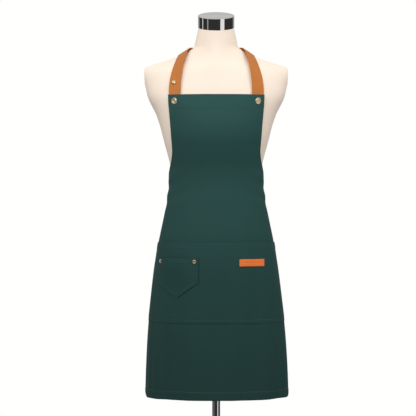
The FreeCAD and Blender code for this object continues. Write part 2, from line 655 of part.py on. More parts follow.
near, far = offset_bend(0), offset_bend(tie_t)
band = Part.Face(Part.Wire([curve_through(near), Part.makeLine(near[-1], far[-1]), curve_through(far),
                            Part.makeLine(far[0], near[0])]))
trim = Part.Face(Part.makePolygon([Vector(x, -20, z) for x, z in NARROW + NARROW[:1]]))
loop = band.extrude(Vector(0, 0, tie_w)).common(trim.extrude(Vector(0, 60, 0)))
for side, word in ((-1, "left"), (1, "right")):
    shape = loop if side > 0 else loop.mirror(Vector(0, 0, 0), sideways)
    solid("bow_loop_" + word, shape, Placement(Vector(side * 12.2, knot_y + 6, tie_z + 1),
                                               Rotation(Vector(0, 1, 0), side * droop)))

# tails: each hangs from a rolled end just under the knot
tail_long, roll_r = 190, 1.3
tail_top = tie_z - knot_h / 2 - 1.9
for side, word in ((-1, "left"), (1, "right")):
    points, outs = [], []
    for k in range(tie_count):
        fall = tail_long * k / (tie_count - 1)
        back = between(DRAPE, tail_top - fall)[2]
        points.append(Vector(side * (8.5 + 0.16 * fall), max(back + 5.0, knot_y + 5) + 1.5, tail_top - fall))
    for k in range(tie_count):
        ahead = points[min(k + 1, tie_count - 1)] - points[max(k - 1, 0)]
        out = sideways.cross(ahead).normalize()
        outs.append(out if out.y > 0 else out * -1)
    widths = [13 + (tie_w - 13) * ease(k / 3) for k in range(tie_count)]
    roll_spot = points[0] + outs[0] * (tie_t / 2) - Vector(6.5, 0, 0)
    roll = Part.makeCylinder(roll_r, 13, roll_spot, sideways)
    solid("tie_tail_" + word, ribbon(points, outs, tie_w, tie_t, widths).fuse(roll).removeSplitter())

# ---------------------------------------------------------------- check and write
doc.recompute()
pieces = [o for o in doc.Objects if o.isDerivedFrom("PartDesign::Body") or o.TypeId == "Part::Feature"]
bad = [o.Name for o in doc.Objects if "Invalid" in o.State or "Error" in o.State]
os.makedirs("parts", exist_ok=True)
for piece in pieces:
    shape = piece.Shape
    if shape.isNull() or not shape.isValid():
        bad.append(piece.Name)
        continue
    shape.exportStep(f"parts/{piece.Label}.step")
    box = shape.BoundBox
    print(f"{piece.Label:24s} x {box.XMin:7.1f} {box.XMax:7.1f}  y {box.YMin:7.1f} {box.YMax:7.1f}"
          f"  z {box.ZMin:7.1f} {box.ZMax:7.1f}  vol {shape.Volume / 1000:9.2f} cm3  solids {len(shape.Solids)}")
if bad:
    raise RuntimeError("bad shapes: " + ", ".join(bad))
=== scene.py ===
"""A bib apron with a leather neck strap on a jersey-covered dress form. Metres, +Z up, front towards -Y."""
import math
import bmesh
import bpy
import numpy as np
from mathutils import Matrix, Vector
from mathutils.bvhtree import BVHTree


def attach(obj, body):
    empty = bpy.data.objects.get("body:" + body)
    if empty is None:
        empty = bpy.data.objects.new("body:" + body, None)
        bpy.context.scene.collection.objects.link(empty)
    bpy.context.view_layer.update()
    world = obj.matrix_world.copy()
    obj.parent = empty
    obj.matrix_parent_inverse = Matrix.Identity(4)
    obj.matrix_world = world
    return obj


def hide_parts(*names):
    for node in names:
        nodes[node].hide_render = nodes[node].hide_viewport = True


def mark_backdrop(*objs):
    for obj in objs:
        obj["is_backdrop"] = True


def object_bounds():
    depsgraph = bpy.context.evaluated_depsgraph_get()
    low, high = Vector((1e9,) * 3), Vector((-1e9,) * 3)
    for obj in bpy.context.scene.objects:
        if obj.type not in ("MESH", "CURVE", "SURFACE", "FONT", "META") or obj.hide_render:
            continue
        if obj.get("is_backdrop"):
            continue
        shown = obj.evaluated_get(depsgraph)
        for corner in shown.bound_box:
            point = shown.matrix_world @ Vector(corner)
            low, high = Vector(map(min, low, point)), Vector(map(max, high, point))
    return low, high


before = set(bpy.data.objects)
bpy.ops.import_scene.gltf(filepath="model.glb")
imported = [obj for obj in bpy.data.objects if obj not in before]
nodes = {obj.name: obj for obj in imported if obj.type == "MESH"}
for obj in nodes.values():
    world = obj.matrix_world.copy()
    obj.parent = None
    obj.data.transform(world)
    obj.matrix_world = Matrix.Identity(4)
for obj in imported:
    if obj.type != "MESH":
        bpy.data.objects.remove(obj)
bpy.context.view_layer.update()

MM = 0.001

# ---------------------------------------------------------------- base
# A pressed steel disc with a spun, chromed cover over it. It stands on five rubber pads, and one bolt
# from below pulls the lower pole's plug down on to it.


class Value:
    """A shader socket that takes part in sums."""

    def __init__(self, finish, socket):
        self.finish, self.socket = finish, socket

    def sum(self, operation, left, right):
        made = self.finish.node("ShaderNodeMath", {"operation": operation}, {0: left, 1: right})
        return Value(self.finish, made.outputs[0])

    def __add__(self, other):
        return self.sum("ADD", self, other)

    def __mul__(self, other):
        return self.sum("MULTIPLY", self, other)

    def __sub__(self, other):
        return self.sum("SUBTRACT", self, other)

    def __rsub__(self, other):
        return self.sum("SUBTRACT", other, self)

    __radd__, __rmul__ = __add__, __mul__


class Finish:
    """One material: a Principled shader with what varies over it linked in."""

    def __init__(self, name, colour, roughness, **sockets):
        self.material = bpy.data.materials.new(name)
        self.material.use_nodes = True
        self.tree = self.material.node_tree
        self.shader = self.tree.nodes["Principled BSDF"]
        self.colour = colour
        self.place = None
        self.put("Base Color", (*colour, 1))
        self.put("Roughness", roughness)
        for word, amount in sockets.items():
            self.put(word.replace("_", " ").title(), amount)

    def put(self, socket, amount):
        """Sets or links one of the shader's own sockets."""
        self.fill(self.shader.inputs[socket], amount)

    def fill(self, socket, amount):
        if isinstance(amount, Value):
            self.tree.links.new(amount.socket, socket)
        elif isinstance(amount, bpy.types.NodeSocket):
            self.tree.links.new(amount, socket)
        else:
            socket.default_value = amount

    def node(self, kind, settings, sockets):
        """A node of any kind: its settings first, then what its sockets take."""
        made = self.tree.nodes.new(kind)
        for word, setting in settings.items():
            if word == "stops":
                ramp = made.color_ramp
                while len(ramp.elements) < len(setting):
                    ramp.elements.new(0.5)
                for stop, (spot, shade) in zip(ramp.elements, setting):
                    stop.position = spot
                    stop.color = (*shade, 1)
            else:
                setattr(made, word, setting)
        for socket, amount in sockets.items():
            self.fill(made.inputs[socket], amount)
        return made

    def noise(self, scale, detail=3.0, stretch=(1, 1, 1), uv=False):
        """Noise from 0 to 1 over the piece, 'scale' grains to the metre."""
        where = self.node("ShaderNodeTexCoord", {}, {}).outputs["UV" if uv else "Object"]
        where = self.node("ShaderNodeMapping", {}, {"Vector": where, "Scale": stretch}).outputs[0]
        made = self.node("ShaderNodeTexNoise", {}, {"Vector": where, "Scale": scale, "Detail": detail})
        return Value(self, made.outputs["Fac"])

    def tint(self, mask, other):
        """Blends the base colour towards another where the mask is 1."""
        mix = self.node("ShaderNodeMix", {"data_type": "RGBA"}, {
            0: mask, 6: (*self.colour, 1), 7: (*other, 1)})
        self.put("Base Color", mix.outputs[2])
        return self

    def relief(self, height, depth):
        """Bumps the surface by 'depth' metres of the height."""
        made = self.node("ShaderNodeBump", {}, {"Height": height, "Distance": depth, "Strength": 1.0})
        self.put("Normal", made.outputs[0])
        return self

    def on(self, *pieces):
        for piece in pieces:
            piece.data.materials.clear()
            piece.data.materials.append(self.material)
        return self


chrome = Finish("polished chrome", (0.78, 0.78, 0.79), 0.05, metallic=1.0)
smear = chrome.noise(9, 4)
chrome.put("Roughness", smear * 0.05 + 0.03)
chrome.on(nodes["base_cover"], nodes["pole_flange"])

steel = Finish("zinc plated steel", (0.55, 0.55, 0.56), 0.34, metallic=1.0)
steel.put("Roughness", steel.noise(60, 4) * 0.18 + 0.26)
steel.on(nodes["base_plate"], nodes["base_bolt"], nodes["base_washer"], nodes["pole_plug"])

rubber = Finish("black rubber", (0.018, 0.018, 0.019), 0.7)
rubber.relief(rubber.noise(700, 2), 0.0001)
rubber.on(nodes["foot_pads"])

# ---------------------------------------------------------------- poles and clamp
# The lower tube stands on the base; a slimmer tube slides in it on a plastic guide. A turned collar
# grips it through a nylon shoe when the screw with the moulded star knob is turned in.
chrome.on(nodes["lower_pole"], nodes["upper_pole"], nodes["clamp_collar"], nodes["pole_socket"])
steel.on(nodes["clamp_screw"])
nylon = Finish("black nylon", (0.022, 0.022, 0.023), 0.42)
nylon.relief(nylon.noise(900, 2), 0.00004)
nylon.on(nodes["clamp_knob"], nodes["pole_guide"], nodes["pole_end_cap"], nodes["clamp_shoe"])

# ---------------------------------------------------------------- torso
# A moulded plastic shell, closed by a wooden board at the bottom and a wooden block at the neck, and
# carried on the pole by a flanged socket with four screws.
shell = Finish("moulded shell plastic", (0.80, 0.77, 0.70), 0.5)
shell.relief(shell.noise(220, 3), 0.0002)
shell.on(nodes["torso_shell"])
wood = Finish("birch board", (0.62, 0.45, 0.27), 0.6)
grain = wood.noise(14, 5, (1, 9, 1))
wood.tint(grain, (0.44, 0.28, 0.14)).relief(grain, 0.0003)
wood.on(nodes["base_board"], nodes["neck_block"])
steel.on(nodes["socket_screws"], nodes["neck_bolt"])

# ---------------------------------------------------------------- jersey cover
# A cream knitted cover pulled tight over the shell. The armhole boards are covered in the same jersey.
# Its seams follow further down.
CREAM = (0.91, 0.775, 0.665)
jersey = Finish("cream jersey", CREAM, 0.9, sheen_weight=0.08, sheen_roughness=0.5)
rib = jersey.noise(1500, 2, (1, 1, 0.35))
cloud = jersey.noise(7, 3)
jersey.tint(cloud * 0.25 + rib * 0.2, (0.81, 0.68, 0.54)).relief(rib, 0.00018)
jersey.on(nodes["jersey_cover"], nodes["armhole_plate_left"], nodes["armhole_plate_right"])

# ---------------------------------------------------------------- neck cap
# A spun, chromed cap with a straight band and a low dome, held to the neck block by one bolt.
mirror = Finish("neck cap chrome", (0.74, 0.73, 0.72), 0.04, metallic=1.0)
mirror.put("Roughness", mirror.noise(25, 3) * 0.04 + 0.03)
mirror.on(nodes["neck_cap"], nodes["neck_disc"])

# ---------------------------------------------------------------- apron panel
# One piece of coated cotton twill: a straight bib, curved armholes and a skirt with rounded corners. The
# side and bottom edges are turned under twice and topstitched; the bib's top has a deep facing.

# level, half width, front, back, middle and roundness of the cloth's inner face, in millimetres
DRAPE = np.array([
    (510, 191.5, 132, 136, 0, 2.15), (600, 187, 130, 134, 0, 2.15), (700, 180.5, 128, 132, 0, 2.2),
    (774, 173.5, 126, 131, 0, 2.2), (857, 164.5, 121, 128, 0, 2.25), (900, 158.5, 118, 123, 0, 2.25),
    (930, 154, 115, 118, 0, 2.25), (990, 142, 107, 105, 0, 2.2), (1040, 132, 100, 95, 0, 2.2),
    (1085, 127.5, 96.5, 90.5, 0, 2.15), (1130, 127.5, 101, 92.5, 0, 2.2), (1175, 135, 115, 98, 0, 2.3),
    (1210, 145, 125, 103, 0, 2.35), (1245, 155, 127.5, 108, 0, 2.35), (1285, 173.5, 123, 113, 2, 2.3),
    (1320, 194, 116, 118, 3, 2.2), (1345, 201, 110, 118, 5, 2.0)])
CLOTH, LAYER = 1.2, 1.4
HEM, TIE, FACING, BIB = 516.0, 1066.0, 1281.0, 1322.0
BIB_HALF, SKIRT_HALF, CORNER = 130.0, 245.0, 20.0


def between(table, level):
    """A table's row at a level, on a smooth curve through its rows."""
    levels = table[:, 0]
    i = int(np.clip(np.searchsorted(levels, level, side="right") - 1, 0, len(levels) - 2))
    low, high = table[i], table[i + 1]
    before, after = table[max(i - 1, 0)], table[min(i + 2, len(levels) - 1)]
    gap = high[0] - low[0]
    part = (level - low[0]) / gap
    start = (high - before) / (high[0] - before[0]) * gap
    finish = (after - low) / (after[0] - low[0]) * gap
    row = (low * (2 * part ** 3 - 3 * part ** 2 + 1) + high * (3 * part ** 2 - 2 * part ** 3)
           + start * (part ** 3 - 2 * part ** 2 + part) + finish * (part ** 3 - part ** 2))
    return row[1:]


class Level:
    """The cloth's inner face at one level, measured along the cloth from its centre line."""

    def __init__(self, level):
        self.level = level
        wide, front, back, middle, power = between(DRAPE, level)
        turn = np.linspace(0, math.pi, 241)
        side, ahead = np.sin(turn), -np.cos(turn)
        depth = np.where(ahead > 0, back - middle, front + middle)
        self.x = wide * np.abs(side) ** (2 / power)
        self.y = middle + depth * np.sign(ahead) * np.abs(ahead) ** (2 / power)
        step = np.hypot(np.diff(self.x), np.diff(self.y))
        self.run = np.concatenate([[0], np.cumsum(step)])
        dx, dy = np.gradient(self.x), np.gradient(self.y)
        size = np.hypot(dx, dy) + 1e-9
        self.nx, self.ny = dy / size, -dx / size
        self.nx[0], self.ny[0] = 0.0, -1.0

    def at(self, along, lift):
        """Points 'along' the cloth to +X, 'lift' millimetres out from its inner face, in metres."""
        along = np.atleast_1d(along)
        far = np.abs(along)
        x, y = np.interp(far, self.run, self.x), np.interp(far, self.run, self.y)
        nx, ny = np.interp(far, self.run, self.nx), np.interp(far, self.run, self.ny)
        x, y = x + nx * lift, y + ny * lift
        return np.stack([np.sign(along) * x, y, np.full_like(x, self.level)], axis=-1) * MM


def ease(amount):
    amount = np.clip(amount, 0, 1)
    return amount * amount * (3 - 2 * amount)


def panel_half(level):
    """Half the panel's width at a level."""
    if level >= TIE:
        sweep = min(1.0, (level - TIE) / 118)
        return BIB_HALF + (SKIRT_HALF - BIB_HALF) * (1 - math.sin(sweep * math.pi / 2)) ** 1.15
    drop = max(0.0, HEM + CORNER - level)
    return SKIRT_HALF - (CORNER - math.sqrt(max(CORNER ** 2 - drop ** 2, 0.0)))


chance = np.random.default_rng(7)
WAVES = [(chance.uniform(0.4, 1) / (1 + k * 0.3), chance.uniform(0.008, 0.02) * (1 + k * 0.55),
          chance.uniform(-0.5, 0.5), chance.uniform(0, 6.28)) for k in range(9)]


def fall(along, level):
    """Soft folds of the hanging cloth, in millimetres: none on the bib's top, most at the hem."""
    loose = ease((1010 - level) / 420)
    tug = ease(1 - abs(level - 1075) / 90) * ease((np.abs(along) - 60) / 90)
    out = 0.0
    for size, pitch, slope, start in WAVES:
        out = out + size * np.sin(along * pitch * 2.2 + level * pitch * slope * 0.7 + start)
    pull = (np.sin(level * 0.16 + np.abs(along) * 0.05)
            + 0.6 * np.sin(level * 0.095 - np.abs(along) * 0.03 + 1))
    bust = ease(1 - abs(level - 1215) / 120)
    return out * (0.35 + 1.6 * loose) * (1 - 0.5 * bust) + pull * tug


def panel_lift(along, level):
    """How far the panel's outer face stands off its inner one, hems and stitch lines included."""
    half = panel_half(level)
    edge = half - np.abs(along)
    lift = np.full_like(edge, CLOTH)
    lift += 0.55 * ease((11 - edge) / 2.0)
    lift += 0.55 * ease((HEM + 24 - level) / 2.5)
    lift += 0.45 * ease((level - FACING - 0.5) / 2.5)
    for gap in (edge - 9.0, level - (HEM + 22), level - FACING - 2.5):
        lift -= 0.42 * np.exp(-(gap / 1.3) ** 2)
    return lift


def rows_of(low, high, step, fine, extra=()):
    """Levels from low to high, closer together near both ends and near the extra ones."""
    levels = list(np.arange(low, high, step)) + [high]
    for spot in (low, high, *extra):
        levels += list(np.arange(max(low, spot - 6), min(high, spot + 6), fine))
    levels = sorted(set(round(float(v), 2) for v in levels))
    return [v for i, v in enumerate(levels) if i == 0 or v - levels[i - 1] > fine * 0.6 or v == high]


def spots_of(count, edge):
    """Places from -1 to 1 across a panel, closer together near its sides."""
    middle = np.linspace(-1, 1, count)
    sides = [1 - edge * k / 14 for k in range(15)]
    return np.unique(np.round(np.concatenate([middle, sides, [-v for v in sides]]), 5))


def mesh_piece(name, points, faces, uv=None, smooth=True):
    """A mesh object from numpy points and a list of faces."""
    name = name.replace(" ", "_")
    data = bpy.data.meshes.new(name)
    data.from_pydata([tuple(p) for p in points], [], faces)
    if uv is not None:
        layer = data.uv_layers.new(name="pattern")
        order = np.empty(len(data.loops), dtype=np.int64)
        data.loops.foreach_get("vertex_index", order)
        layer.data.foreach_set("uv", np.asarray(uv)[order].astype(np.float32).ravel())
    data.validate()
    data.shade_smooth() if smooth else data.shade_flat()
    piece = bpy.data.objects.new(name, data)
    bpy.context.scene.collection.objects.link(piece)
    return piece


def sheet_piece(name, outer, inner, uv):
    """A closed cloth from two grids of points, its rim closed with flat faces."""
    rows, columns = outer.shape[:2]
    rim = (outer + inner) / 2
    count = rows * columns
    points = np.concatenate([outer.reshape(-1, 3), inner.reshape(-1, 3)])
    index = np.arange(count).reshape(rows, columns)
    a, b, c, d = index[:-1, :-1], index[:-1, 1:], index[1:, 1:], index[1:, :-1]
    front = np.stack([a, b, c, d], axis=-1).reshape(-1, 4)
    back = np.stack([d, c, b, a], axis=-1).reshape(-1, 4) + count
    loop = np.concatenate([index[0, :], index[1:, -1], index[-1, -2::-1], index[-2:0:-1, 0]])
    after = np.roll(loop, -1)
    sides = np.stack([loop, loop + count, after + count, after], axis=-1)
    faces = np.concatenate([front, back, sides])
    flat = np.concatenate([uv.reshape(-1, 2), uv.reshape(-1, 2)])
    return mesh_piece(name, points, faces.tolist(), flat)


def grid(levels, places, along_at, outer_lift, inner_lift, wave=fall):
    """Outer and inner points of a cloth and its flat pattern, row by row from the bottom up."""
    outer, inner, flat = [], [], []
    for level in levels:
        row = Level(level)
        along = along_at(level, places)
        sway = wave(along, level)
        outer.append(row.at(along, outer_lift(along, level) + sway))
        inner.append(row.at(along, inner_lift(along, level) + sway))
        flat.append(np.stack([along, np.full_like(along, level)], axis=-1) * MM)
    return np.array(outer), np.array(inner), np.array(flat)


GREEN = (0.0125, 0.042, 0.038)
twill = Finish("green coated twill", GREEN, 0.75)
twill.put("Specular IOR Level", 0.14)
cloth_spot = twill.node("ShaderNodeTexCoord", {}, {}).outputs["UV"]
weave_line = twill.node("ShaderNodeTexWave", {"wave_type": "BANDS", "bands_direction": "DIAGONAL"}, {
    "Vector": cloth_spot, "Scale": 480.0, "Distortion": 2.0, "Detail": 1.0})
height = Value(twill, twill.node("ShaderNodeSeparateXYZ", {}, {"Vector": cloth_spot}).outputs["Y"])
weave = Value(twill, weave_line.outputs["Fac"])
haze = twill.noise(5, 4, uv=True)
speck = twill.noise(900, 2, uv=True)
# painted shade: the colour is paler towards the bib's top and darker towards the hem, standing in for light
# that falls from above; haze and speck add random tone
painted_top_light_and_mottle = (height - 0.63) * 1.2 + haze * 0.2 + speck * 0.15
twill.tint(painted_top_light_and_mottle, (0.0235, 0.076, 0.070)).relief(weave * 0.5 + speck, 0.00012)
twill.put("Roughness", haze * 0.12 + 0.66)

panel_levels = rows_of(HEM, BIB, 5.0, 1.0, (HEM + 22, FACING + 2.5, HEM + 10))
panel = sheet_piece("apron cloth", *grid(
    panel_levels, spots_of(91, 0.11), lambda level, places: places * panel_half(level),
    panel_lift, lambda along, level: along * 0.0))
twill.on(panel)
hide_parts("apron_panel")
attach(panel, "torso")
twill.on(nodes["bib_facing"])

# ---------------------------------------------------------------- topstitching
# Tone on tone polyester thread: short stitches that stand a little proud of the cloth, set along every
# hem and pocket edge.
THREAD_GREEN = (0.040, 0.098, 0.088)
thread = Finish("green thread", THREAD_GREEN, 0.55, sheen_weight=0.2)
tan_thread = Finish("tan thread", (0.50, 0.27, 0.12), 0.6)


def stitches(name, lines, pitch=3.2, long=2.3, wide=0.55, finish=thread, body="torso"):
    """One mesh of stitches along lines of (point, way out) pairs in metres."""
    points, faces = [], []
    for line in lines:
        path = np.array([p for p, out in line])
        outs = np.array([out for p, out in line])
        run = np.concatenate([[0], np.cumsum(np.linalg.norm(np.diff(path, axis=0), axis=1))])
        for start in np.arange(pitch * MM, run[-1] - pitch * MM, pitch * MM):
            ends = []
            for spot in (start, start + long * MM):
                ends.append(np.array([np.interp(spot, run, path[:, k]) for k in range(3)]))
            out = np.array([np.interp(start, run, outs[:, k]) for k in range(3)])
            ahead = (ends[1] - ends[0]) / np.linalg.norm(ends[1] - ends[0])
            across = np.cross(ahead, out)
            across /= np.linalg.norm(across)
            half, base = wide * MM / 2, len(points)
            for spot, shrink in ((ends[0], 0.5), ((ends[0] + ends[1]) / 2, 1.0), (ends[1], 0.5)):
                rise = out * half * 1.1 * (1.4 * shrink - 0.6)
                points += [spot - across * half * shrink, spot + rise, spot + across * half * shrink]
            for k in (0, 3):
                faces += [(base + k, base + k + 1, base + k + 4, base + k + 3),
                          (base + k + 1, base + k + 2, base + k + 5, base + k + 4)]
    piece = mesh_piece(name, points, faces)
    finish.on(piece)
    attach(piece, body)
    return piece


def seam(spots, lift_at, wave=fall):
    """Points on a cloth's face at (along, level) spots, each with its way out."""
    line = []
    for along, level in spots:
        row = Level(level)
        far = np.array([along])
        lift = lift_at(far, level) + wave(far, level)
        point, above = row.at(far, lift)[0], row.at(far, lift + 1.0)[0]
        out = above - point
        line.append((point, out / np.linalg.norm(out)))
    return line


def edge_spots(gap, low, high, side, half_at):
    """Spots along one side of a cloth, 'gap' in from its edge."""
    return [(side * (half_at(level) - gap), level) for level in np.arange(low, high, 6.0)]


hem_level, hem_run = HEM + 22, panel_half(HEM + 22) - 10
panel_lines = [seam([(s, hem_level) for s in np.linspace(-hem_run, hem_run, 120)], panel_lift)]
panel_lines += [seam([(s, FACING + 2.5) for s in np.linspace(-BIB_HALF + 2, BIB_HALF - 2, 60)], panel_lift)]
panel_lines += [seam(edge_spots(9.0, HEM + 24, BIB - 2, side, panel_half), panel_lift) for side in (-1, 1)]
stitches("panel topstitching", panel_lines)

# ---------------------------------------------------------------- lap pocket
# A full-width pocket of the same twill, sewn into the side hems and along the bottom. Its mouth is
# turned in by two centimetres and stands a finger's width off the skirt.
LAP_TOP, LAP_LOW, LAP_GAPE = 930.0, 718.0, 12.0


def lap_base(along, level):
    """The pocket's inner face off the panel's inner one."""
    across = np.clip(1 - (along / (panel_half(level) - 40)) ** 2, 0, 1) ** 1.3
    return LAYER + LAP_GAPE * across * ease((level - LAP_LOW - 8) / (LAP_TOP - LAP_LOW - 20))


def lap_lift(along, level):
    edge = panel_half(level) - 2 - np.abs(along)
    lift = lap_base(along, level) + CLOTH
    lift += 0.55 * ease((level - (LAP_TOP - 20)) / 2.0) + 0.5 * ease((11 - edge) / 2.0)
    lift -= 0.8 * ease((LAP_LOW + 4 - level) / 4.0)
    for gap in (level - (LAP_TOP - 18.5), level - (LAP_LOW + 3.5), level - (LAP_LOW + 9.5)):
        lift -= 0.42 * np.exp(-(gap / 1.3) ** 2)
    return lift


lap_levels = rows_of(LAP_LOW, LAP_TOP, 5.0, 1.0, (LAP_TOP - 18.5, LAP_LOW + 9.5))
lap = sheet_piece("lap pocket cloth", *grid(
    lap_levels, spots_of(91, 0.10), lambda level, places: places * (panel_half(level) - 2),
    lap_lift, lap_base))
twill.on(lap)
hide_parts("lap_pocket")
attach(lap, "torso")
lap_lines = []
for level in (LAP_TOP - 18.5, LAP_LOW + 3.5, LAP_LOW + 9.5):
    run = panel_half(level) - 5
    lap_lines.append(seam([(s, level) for s in np.linspace(-run, run, 120)], lap_lift))
lap_lines += [seam(edge_spots(9.0, LAP_LOW + 2, LAP_TOP, side, panel_half), lap_lift) for side in (-1, 1)]
stitches("lap pocket topstitching", lap_lines)

# ---------------------------------------------------------------- tool pocket
# A small pocket with a pointed end, sewn to the lap pocket with two rows of stitching and riveted at
# both ends of its mouth.
TOOL_TOP, TOOL_SIDE, TOOL_TIP, TOOL_GAPE = 889.0, 826.0, 786.0, 9.0


def run_at(x, level):
    """Distance along the cloth at which it reaches x."""
    row = Level(level)
    return math.copysign(float(np.interp(abs(x), row.x[:110], row.run[:110])), x)


TOOL_LEFT, TOOL_RIGHT, TIP_RUN = run_at(-147.5, TOOL_TOP), run_at(-46.0, TOOL_TOP), run_at(-101.0, TOOL_TIP)
TOOL_MID = (TOOL_LEFT + TOOL_RIGHT) / 2


def tool_ends(level):
    """The pocket's two sides at a level: straight above, closing to a point below."""
    open_part = min(1.0, max(0.03, (level - TOOL_TIP) / (TOOL_SIDE - TOOL_TIP)))
    return TIP_RUN + (TOOL_LEFT - TIP_RUN) * open_part, TIP_RUN + (TOOL_RIGHT - TIP_RUN) * open_part


def tool_base(along, level):
    here = np.clip(1 - ((along - TOOL_MID) / 50) ** 2, 0, 1)
    return lap_base(along, level) + LAYER + 0.5 + TOOL_GAPE * here * ease((level - 800) / 80)


def tool_edge(along, level):
    """Distance in from the pocket's nearer side, square to it."""
    low, high = tool_ends(level)
    return np.minimum(along - low, high - along) * (0.62 if level < TOOL_SIDE else 1.0)


def tool_lift(along, level):
    lift = tool_base(along, level) + CLOTH + 0.5 * ease((level - (TOOL_TOP - 17)) / 2.0)
    edge = tool_edge(along, level)
    lift += 0.45 * ease((8 - edge) / 2.0)
    for gap in (edge - 2.2, edge - 7.8, level - (TOOL_TOP - 15.5)):
        lift -= 0.4 * np.exp(-(gap / 1.2) ** 2)
    return lift


tool = sheet_piece("tool pocket cloth", *grid(
    rows_of(TOOL_TIP, TOOL_TOP, 2.5, 1.0, (TOOL_TOP - 15.5,)), spots_of(51, 0.2),
    lambda level, places: np.interp(places, (-1, 1), tool_ends(level)), tool_lift, tool_base))
twill.on(tool)
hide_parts("tool_pocket")
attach(tool, "torso")
tool_lines = [seam([(s, TOOL_TOP - 15.5) for s in np.linspace(TOOL_LEFT + 3, TOOL_RIGHT - 3, 40)], tool_lift)]
for gap in (2.2, 7.8):
    for side in (-1, 1):
        spots = []
        for level in np.arange(TOOL_TIP + 4 + gap * 1.4, TOOL_TOP - 1, 3.0):
            edge = tool_ends(level)[0 if side < 0 else 1]
            spots.append((edge - side * gap / (0.62 if level < TOOL_SIDE else 1.0), level))
        tool_lines.append(seam(spots, tool_lift))
stitches("tool pocket topstitching", tool_lines)

# ---------------------------------------------------------------- rivets and snaps
# Two bronze rivets hold the tool pocket's mouth. Each strap end closes on the bib with a ring spring snap,
# and a spare stud on the strap takes the wearer who wants it shorter.
bronze = Finish("antique bronze", (0.62, 0.40, 0.22), 0.24, metallic=1.0)
tarnish = bronze.noise(420, 4)
bronze.tint(tarnish, (0.34, 0.19, 0.09))
bronze.put("Roughness", tarnish * 0.25 + 0.16)
fastener_words = ("bib_snap", "strap_stud", "spare_stud", "pocket_rivet")
bronze.on(*[nodes[n] for n in nodes if n.startswith(fastener_words)])
gold = Finish("pale gold plate", (0.86, 0.70, 0.47), 0.26, metallic=1.0)
gold.put("Roughness", gold.noise(500, 3) * 0.16 + 0.32)


def turned_piece(name, profile, place, finish, node, body="torso", around=48):
    """A lathe-turned piece from (radius, height) points in millimetres, standing in for a CAD node."""
    points, faces = [], []
    for radius, height in profile:
        for k in range(around):
            turn = 2 * math.pi * k / around
            points.append((radius * math.cos(turn) * MM, radius * math.sin(turn) * MM, height * MM))
    for i in range(len(profile) - 1):
        for k in range(around):
            a, b = i * around + k, i * around + (k + 1) % around
            faces.append((a, b, b + around, a + around))
    piece = mesh_piece(name, points, faces)
    edges = bmesh.new()
    edges.from_mesh(piece.data)
    bmesh.ops.remove_doubles(edges, verts=edges.verts, dist=1e-6)
    edges.to_mesh(piece.data)
    edges.free()
    piece.matrix_world = place
    finish.on(piece)
    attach(piece, body)
    if node:
        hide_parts(node)
    return piece


def face_place(node):
    """Where a round CAD piece stands: its centre's outermost point and its own axis."""
    piece = nodes[node]
    data = np.array([piece.matrix_world @ v.co for v in piece.data.vertices])
    middle = data.mean(axis=0)
    spread = np.linalg.svd(data - middle, full_matrices=False)[2][2]
    out = spread if spread[1] < 0 else -spread
    heights = (data - middle) @ out
    rim = data[np.linalg.norm(data - middle - np.outer(heights, out), axis=1) > 4.5 * MM]
    centre = rim.mean(axis=0) if len(rim) else middle
    turn = Vector(out).to_track_quat("Z", "Y").to_matrix().to_4x4()
    return Matrix.Translation(Vector(centre)) @ turn


def cloth_place(along, level, lift_at):
    """A place standing square on a cloth's face."""
    point, out = seam([(along, level)], lift_at)[0]
    return Matrix.Translation(Vector(point)) @ Vector(out).to_track_quat("Z", "Y").to_matrix().to_4x4()


SNAP_ACROSS, SNAP_LEVEL, RIVET_LEVEL = 110.0, 1305.0, 881.0
CAP = [(0, 2.2), (2.6, 2.3), (3.4, 2.6), (4.0, 2.9), (4.7, 2.8), (5.2, 2.2), (5.9, 2.1), (6.6, 2.6),
       (7.4, 2.5), (8.2, 1.7), (8.5, 0.9), (8.4, 0.1), (7.6, -0.4), (0, -0.4)]
for side, word in ((-1, "left"), (1, "right")):
    place = cloth_place(side * run_at(SNAP_ACROSS, SNAP_LEVEL), SNAP_LEVEL, panel_lift)
    turned_piece("snap cap " + word, CAP, place, gold, "bib_snap_cap_" + word)
DOME = [(0, 1.5), (1.5, 1.6), (2.3, 2.1), (3.2, 2.0), (4.6, 1.4), (5.8, 0.5), (6.4, -0.2), (6.5, -0.8),
        (6.1, -1.2), (0, -1.2)]
turned_piece("spare stud dome", DOME, face_place("spare_stud"), gold, "spare_stud")

RIM = [(2.5, 1.0), (2.7, 1.5), (3.3, 1.8), (4.3, 1.6), (4.9, 0.9), (5.0, 0.3), (4.8, -0.3), (0, -0.3)]
CENTRE = [(0, 1.35), (1.4, 1.3), (2.2, 1.1), (2.6, 0.8), (2.6, 0.1)]
for x, word in ((-142.0, "left"), (-55.5, "right")):
    place = cloth_place(run_at(x, RIVET_LEVEL), RIVET_LEVEL, tool_lift)
    turned_piece("rivet rim " + word, RIM, place, gold, "pocket_rivets")
    turned_piece("rivet centre " + word, CENTRE, place, bronze, "pocket_rivets")

# ---------------------------------------------------------------- label
# A small patch of orange leather, sewn on all round and blind-embossed with a border and a row of bars.
patch_leather = Finish("orange label leather", (0.86, 0.205, 0.040), 0.55)
patch_leather.put("Specular IOR Level", 0.25)
pores = patch_leather.noise(1300, 4)
patch_leather.tint(patch_leather.noise(60, 4) * 0.4, (0.50, 0.11, 0.03)).relief(pores, 0.00015)
LABEL_LEVEL, LABEL_TALL = 878.0, 9.7
LABEL_MID = run_at(91.0, LABEL_LEVEL)
LABEL_HALF = (run_at(122.5, LABEL_LEVEL) - run_at(59.5, LABEL_LEVEL)) / 2


def label_half(level):
    drop = max(0.0, abs(level - LABEL_LEVEL) - (LABEL_TALL - 3))
    return LABEL_HALF - 3 + math.sqrt(max(9 - drop ** 2, 0.01))


def label_base(along, level):
    return lap_base(along, level) + LAYER


